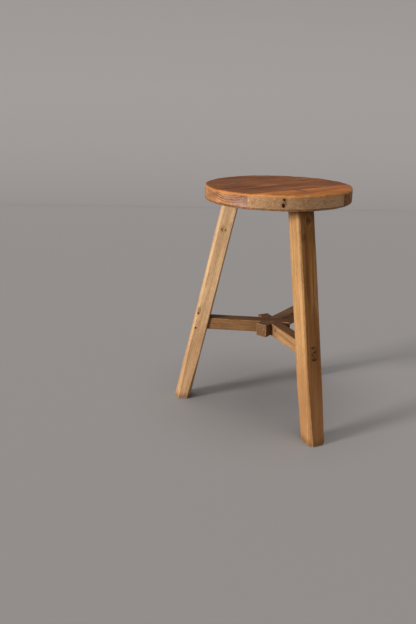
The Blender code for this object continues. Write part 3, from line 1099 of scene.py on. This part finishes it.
# painted shade: the bars darken towards the crossing
HUB_SHADE = ((0.0, 0.0, 0.0), (0.070, 0.050, 0.050), (0.20, 0.098, 0.040), 0.75)
STUB_GRIME = (0.16, 0.076, 0.033)
BAR_SMUDGE = (0.0070, 0.0045, 0.0032)
# the bars are darker along their bottoms
darker_bar_bottoms = band(bars["left"][0].z + 0.004, bars["left"][0].z - 0.001, DIRT_AND_SHADE, 0.4, 0.003)
BAR_STREAK = (0.20, 0.095, 0.042)
BAR_PALETTES = {
    # painted shadow: the left bar's colours are darker than the front bar's
    "left": ((0.36, 0.185, 0.078), (0.20, 0.095, 0.038), BAR_STREAK),
    "front": ((0.54, 0.305, 0.14), (0.36, 0.185, 0.076), BAR_STREAK),
    "rear": ((0.38, 0.200, 0.088), (0.24, 0.112, 0.045), BAR_STREAK),
}
BAR_LEANS = {"left": (1.0, 10), "front": (-1.4, 40), "rear": (0.8, -15)}
BAR_TREES = {
    "left": dict(pith=(0.02, 0.05), ring=0.0040),
    "front": dict(pith=(-0.05, 0.03), ring=0.0035),
    "rear": dict(pith=(0.01, -0.004), ring=0.0030),
}


def bar_grain(side):
    """A grain frame along a bar, on its middle line."""
    low, high = bars[side]
    middle = Matrix.Translation((0, 0, (low.z + high.z) / 2))
    return spoke_frame(side) @ middle @ lean_and_roll(*BAR_LEANS[side])


def painted_seat_shadow(side):
    top = bars[side][1].z
    return band(top - 0.0022, top - 0.0010, SEAT_SHADOW_TINT, SEAT_SHADOW_SHARES[side])


def stub_grime(side):
    """End grain drinks wax and dirt, so the end of the stub is dark."""
    return (bars[side][0].x, 0.0, 0.0), (0.014, 0.040, 0.040), STUB_GRIME, 0.95


small_knot = bar_grain("front").inverted() @ (spoke_frame("front") @ Vector((0.042, -0.0125, 0.192)))
BAR_TREES["front"]["knots"] = [(small_knot, 0.0030)]

# %% Wood for the bars
bar_woods = {}
for side in SIDES:
    grain = bar_grain(side)
    bar_woods[side] = elm(
        f"{side}_bar_wood",
        grain,
        BAR_PALETTES[side],
        # darker bottoms, the seat's painted shadow on the tops, and wax and painted shade on the tenon ends
        finishes=[darker_bar_bottoms, painted_seat_shadow(side), shin_wax_and_shade(side, SHIN_WAX_AND_SHADE_SHARES[side])],
        # painted shade towards the crossing, then dirt in the stub's end grain and at the tenon's end
        patches=[HUB_SHADE, stub_grime(side), *tenon_smudges(side, grain, BAR_SMUDGE)],
        worn=(0.56, 0.33, 0.16),
        **BAR_TREES[side],
    )
print("bar woods:", ", ".join(bar_woods))

# %% Bar shapes
BAR_EASING = 0.0011
BAR_HOLLOWS, BAR_WAVES = 0.0008, (0.07, 0.014, 0.014)
BAR_TOP = bars["front"][1].z
BAR_HEIGHT = BAR_TOP - bars["front"][0].z
LAP = {level: BAR_TOP - BAR_HEIGHT * level for level in (1 / 3, 1 / 2, 2 / 3)}


def leg_surface(side, facing):
    """A point and the outward normal of a leg's inner (-1) or outer (1) face."""
    leg_frame, _, depth, _ = legs[side]
    normal = facing * leg_frame.to_3x3().col[0]
    return leg_frame.translation + normal * depth / 2, normal


def bar_section(side):
    """A bar's half width, bottom and top. Its tenon reaches further than the bar, but is no wider."""
    low, high = bars[side]
    return high.y, low.z, high.z


def lap_cutter(side, low, high):
    half = bar_section(side)[0] + GAP
    bm = box_blank((-0.08, -half, low), (0.08, half, high))
    place(bm, spoke_frame(side))
    return make_object("lap", bm)


def bar(side):
    half, bottom, top = bar_section(side)
    stub = bars[side][0].x
    bm = box_blank((stub, -half, bottom), (0.2, half, top))
    place(bm, spoke_frame(side))
    face, normal = leg_surface(side, -1)
    saw(bm, face + normal * GAP, -normal)
    ease(bm, edges_where(bm, lambda middle, edge: (middle - face).dot(normal) > 0.001), BAR_EASING, 4)
    for direction in spoke_frame(side).to_3x3().col:
        add_loops(bm, direction, 0.008)

    def away_from_shoulder(point):
        return min(1, max(0, (point - face).dot(normal) - GAP) / HOLD_STILL)

    hand_planed(bm, spoke_frame(side), BAR_HOLLOWS, SEEDS[side] + 3, away_from_shoulder, BAR_WAVES)
    obj = make_object(f"{side}_bar", bm)

    tenon = tenon_of_bar(side, -GAP, -MORTISE_SLACK, 0.1, 0.3)
    outer, out = leg_surface(side, 1)
    saw(tenon, outer + out * PROUD, out)
    ease(tenon, edges_where(tenon, lambda middle, edge: (middle - outer).dot(out) > 0), END_EASING, 2)
    joined(obj, [make_object("tenon", tenon)], "UNION")
    return obj


def stretcher_wedge_place(side):
    """The frame of the wedge in a bar's end: level, pointing inwards."""
    _, bottom, top = bar_section(side)
    outer, out = leg_surface(side, 1)
    spoke = spoke_frame(side)
    start, normal = spoke.inverted() @ outer, spoke.to_3x3().transposed() @ out
    level = (bottom + top) / 2
    reach = start.x - (level - start.z) * normal.z / normal.x
    return spoke @ Matrix.Translation((reach, 0, level)) @ Matrix.Rotation(math.pi / 2, 4, "Y")


# %% Bars
# for each bar, the ones that it makes room for, and the heights between which it does
LAPS = {
    "left": (("rear", 0.1, LAP[1 / 3]), ("front", 0.1, LAP[1 / 2])),
    "rear": (("left", LAP[1 / 3], 0.3), ("front", 0.1, LAP[2 / 3])),
    "front": (("rear", LAP[2 / 3], 0.3), ("left", LAP[1 / 2], 0.3)),
}
for side in SIDES:
    obj = bar(side)
    cutters = [slot_cutter(STRETCHER_WEDGE, stretcher_wedge_place(side))]
    cutters += [lap_cutter(*crossing) for crossing in LAPS[side]]
    joined(obj, cutters)
    settle(obj, f"stretcher_{side}", bar_woods[side])

# %% [markdown]
# ## Wedges and dowels
#
# The wedges are slips of dark, dry wood, driven in and sawn off. Only their heads show. The dowels sit
# inside the boards. Their CAD shape is already right, so they keep it and only get bamboo: pale, with
# close straight fibres.

# %% Wedges


def wedge_wood(name, spot_frame):
    """Wood whose grain runs the way the wedge points."""
    grain = spot_frame @ Matrix.Rotation(math.pi / 2, 4, "Y")
    palette = (0.30, 0.15, 0.065), (0.18, 0.08, 0.033), (0.10, 0.042, 0.018)
    return elm(name, grain, palette, worn=(0.40, 0.21, 0.10), pith=(0.01, 0.02), ring=0.0012, rough=0.6)


def driven_wedge(name, wedge_size, length, spot_frame, face, normal):
    """A wedge in its slot, sawn off just proud of a face."""
    blank = wedge_blank(*wedge_size, length - 4 * GAP)
    place(blank, spot_frame)
    cut = face + normal * PROUD
    saw(blank, cut, normal)
    head_edges = edges_where(blank, lambda middle, edge: abs((middle - cut).dot(normal)) < 1e-5)
    ease(blank, head_edges, WEDGE_EASING, 2)
    return make_object(name, blank)


WEDGE_EASING = 0.0003
SEAT_TOP = Vector((0, 0, HEIGHT)), Vector((0, 0, 1))
for side in SIDES:
    spot_frame = seat_wedge_place(side)
    head = driven_wedge(f"seat_wedge_{side}_head", SEAT_WEDGE, 2 * TENON_RADIUS, spot_frame, *SEAT_TOP)
    settle(head, f"seat_wedge_{side}", wedge_wood(f"seat_wedge_wood_{side}", spot_frame))

    spot_frame, outer_face = stretcher_wedge_place(side), leg_surface(side, 1)
    head = driven_wedge(f"bar_wedge_{side}_head", STRETCHER_WEDGE, MORTISE_WIDTH, spot_frame, *outer_face)
    settle(head, f"stretcher_wedge_{side}", wedge_wood(f"bar_wedge_wood_{side}", spot_frame))

# %% Dowels
for place_name in ("left", "middle", "right"):
    dowel = nodes[f"board_dowel_{place_name}"]
    low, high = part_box(dowel.name)
    grain = Matrix.Translation((low + high) / 2) @ across_joint.to_track_quat("X", "Z").to_matrix().to_4x4()
    palette = (0.66, 0.50, 0.26), (0.52, 0.37, 0.17), (0.42, 0.28, 0.12)
    bamboo = elm(f"bamboo_{place_name}", grain, palette, ring=0.0009, ring_share=0.3)
    for material_slot in dowel.material_slots:
        material_slot.material = bamboo
    print(dowel.name, "keeps its CAD shape")

# %% [markdown]
# ## The studio
#
# The floor is a plain pale disc, wide enough to reach the horizon. Behind the stool a sheet of the same
# stuff curves up from it into a wall, as a photographer hangs paper, so that no edge shows. It is a
# quarter circle and a straight, drawn out sideways.

# %% Floor and backdrop
FLOOR_RADIUS = 40.0
PALE_GREY = (0.34, 0.325, 0.32, 1)
WALL_DISTANCE, WALL_HEIGHT, WALL_WIDTH = 5.6, 4.0, 14.0
COVE = 3.0  # radius of the curve
ABOVE_FLOOR = 0.0005
VIEW_AZIMUTH = math.pi / 2 + YAW

bm = bmesh.new()
bmesh.ops.create_circle(bm, cap_ends=True, segments=96, radius=FLOOR_RADIUS)
floor = make_object("floor", bm)
floor_recipe = Recipe("pale_floor")
floor_recipe.shader.inputs["Base Color"].default_value = PALE_GREY
floor_recipe.shader.inputs["Roughness"].default_value = 0.75
floor.data.materials.append(floor_recipe.material)

bm = bmesh.new()
foot_of_wall = bm.verts.new((WALL_DISTANCE - COVE, -WALL_WIDTH / 2, ABOVE_FLOOR))
curve = bmesh.ops.spin(
    bm,
    geom=[foot_of_wall],
    cent=(WALL_DISTANCE - COVE, -WALL_WIDTH / 2, COVE),
    axis=(0, -1, 0),
    angle=math.pi / 2,
    steps=60,
    use_duplicate=False,
)
top_of_curve = [item for item in curve["geom_last"] if isinstance(item, bmesh.types.BMVert)]
wall_top = bmesh.ops.extrude_vert_indiv(bm, verts=top_of_curve)["verts"]
bmesh.ops.translate(bm, vec=(0, 0, WALL_HEIGHT - COVE), verts=wall_top)
far_side = bmesh.ops.extrude_edge_only(bm, edges=bm.edges)["geom"]
far_side = [item for item in far_side if isinstance(item, bmesh.types.BMVert)]
bmesh.ops.translate(bm, vec=(0, WALL_WIDTH, 0), verts=far_side)
place(bm, Matrix.Rotation(VIEW_AZIMUTH, 4, "Z"))
backdrop = make_object("backdrop", bm)
backdrop.data.materials.append(floor_recipe.material)
backdrop.data.shade_smooth()
print("floor and backdrop:", len(floor.data.polygons) + len(backdrop.data.polygons), "faces")

# %% [markdown]
# One window does most of the work. It stands low at the left, because light that skims a surface brings up
# its grain and leaves the faces that look away from it in shadow. A weaker light from the whole ceiling
# shapes the seat's top, and the world adds a little from everywhere, so that the shadows stay readable.
# Both lights are suns with a wide angle: a sun lights near and far pieces alike, as a real window some
# metres off does, and its angle softens the shadows.

# %% Lights


def soft_light(name, azimuth, elevation, softness, strength, colour):
    """A light as wide in the sky as its softness, in degrees."""
    turn, rise = math.radians(azimuth), math.radians(elevation)
    away = Vector((math.cos(turn) * math.cos(rise), math.sin(turn) * math.cos(rise), math.sin(rise)))
    lamp = bpy.data.lights.new(name, "SUN")
    lamp.angle, lamp.energy, lamp.color = math.radians(softness), strength, colour
    obj = bpy.data.objects.new(name, lamp)
    obj.matrix_world = Matrix.Translation(away * 4) @ away.to_track_quat("Z", "Y").to_matrix().to_4x4()
    bpy.context.collection.objects.link(obj)
    print(f"{name}: {strength} W/m2 from azimuth {azimuth}")


soft_light("window", -146, 14, 14, 3.2, (1.0, 0.97, 0.92))
soft_light("ceiling", -90, 86, 45, 1.25, (1.0, 0.98, 0.96))

world = bpy.data.worlds.new("studio")
world.use_nodes = True
world.node_tree.nodes["Background"].inputs["Color"].default_value = (0.92, 0.90, 0.94, 1)
world.node_tree.nodes["Background"].inputs["Strength"].default_value = 0.18
bpy.context.scene.world = world
bpy.context.scene.view_settings.view_transform = "Standard"
